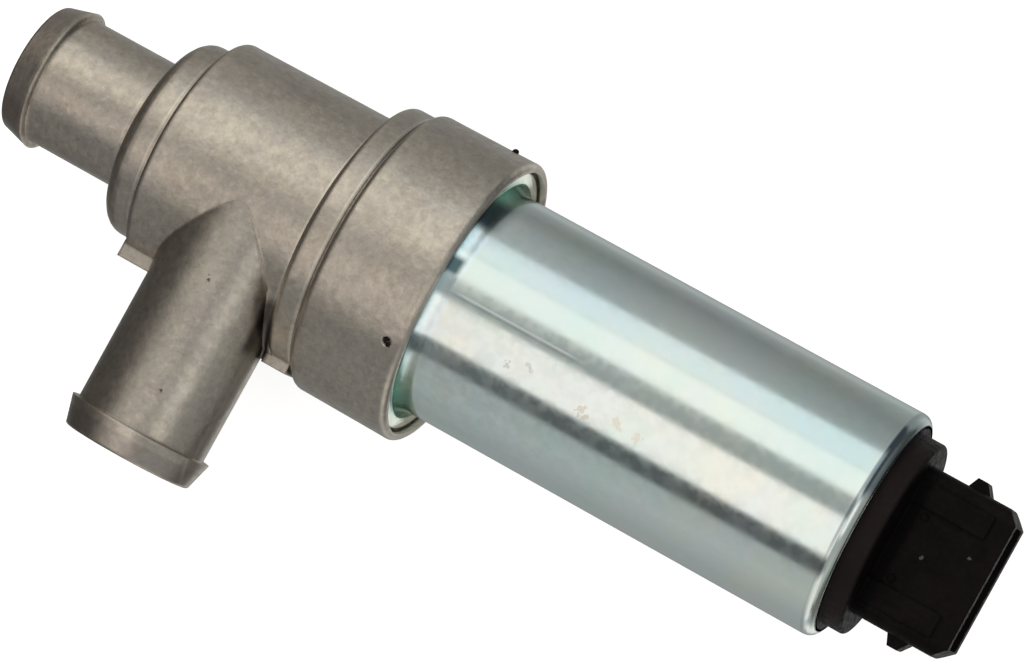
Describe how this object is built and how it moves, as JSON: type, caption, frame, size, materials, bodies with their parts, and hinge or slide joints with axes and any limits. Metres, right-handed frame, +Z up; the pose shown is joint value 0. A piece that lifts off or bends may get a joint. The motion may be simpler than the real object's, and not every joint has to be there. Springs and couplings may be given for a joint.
{
  "type": "idle air control valve",
  "caption": "Idle air valve: cast body with an inline and a side hose nozzle, closed by a sprung plunger and opened by a coil in a plated can.",
  "frame": {"origin": "on the main axis, in the middle part of the can's straight wall, where a clamp holds the valve", "axes": "+X along the main axis towards the plug header, -Y along the side nozzle, +Z up, to the side on which the side nozzle stands off the main axis"},
  "size_m": [0.1579, 0.0646, 0.0446],
  "materials": {
    "cast_aluminium": "blasted casting",
    "turned_aluminium": "turned",
    "zinc_plate": "bright zinc plating, clear passivated",
    "bare_steel": "ground",
    "spring_steel": "drawn",
    "soft_iron": "turned, zinc plated",
    "brass": "turned",
    "bronze": "sintered",
    "copper_wire": "enamelled wire",
    "tinned_brass": "tinned",
    "bobbin_plastic": "moulded",
    "black_plastic": "moulded, glass filled",
    "seal_rubber": "moulded"
  },
  "bodies": {
    "valve": {"valve_housing": "cast_aluminium", "valve_seat": "brass", "front_bush": "bronze", "pole_plate": "soft_iron", "housing_seal": "seal_rubber", "solenoid_can": "zinc_plate", "guide_tube": "brass", "stop_washer": "brass", "pole_core": "soft_iron", "rear_bush": "bronze", "return_spring": "spring_steel", "adjusting_screw": "brass", "wave_washer": "spring_steel", "coil_bobbin": "bobbin_plastic", "coil_winding": "copper_wire", "flux_washer": "soft_iron", "connector_cap": "black_plastic", "cap_seal": "seal_rubber", "terminal_left": "tinned_brass", "terminal_right": "tinned_brass"},
    "plunger": {"valve_head": "turned_aluminium", "retaining_clip": "spring_steel", "valve_rod": "bare_steel", "armature": "soft_iron", "spring_seat": "bare_steel"}
  },
  "joints": [
    {"name": "valve_slide", "type": "slide", "parent": "valve", "child": "plunger", "axis": [1, 0, 0], "range_m": [0, 0.005], "stiffness_N_per_m": 300, "springref_m": -0.005, "deforming": ["return_spring"]}
  ]
}
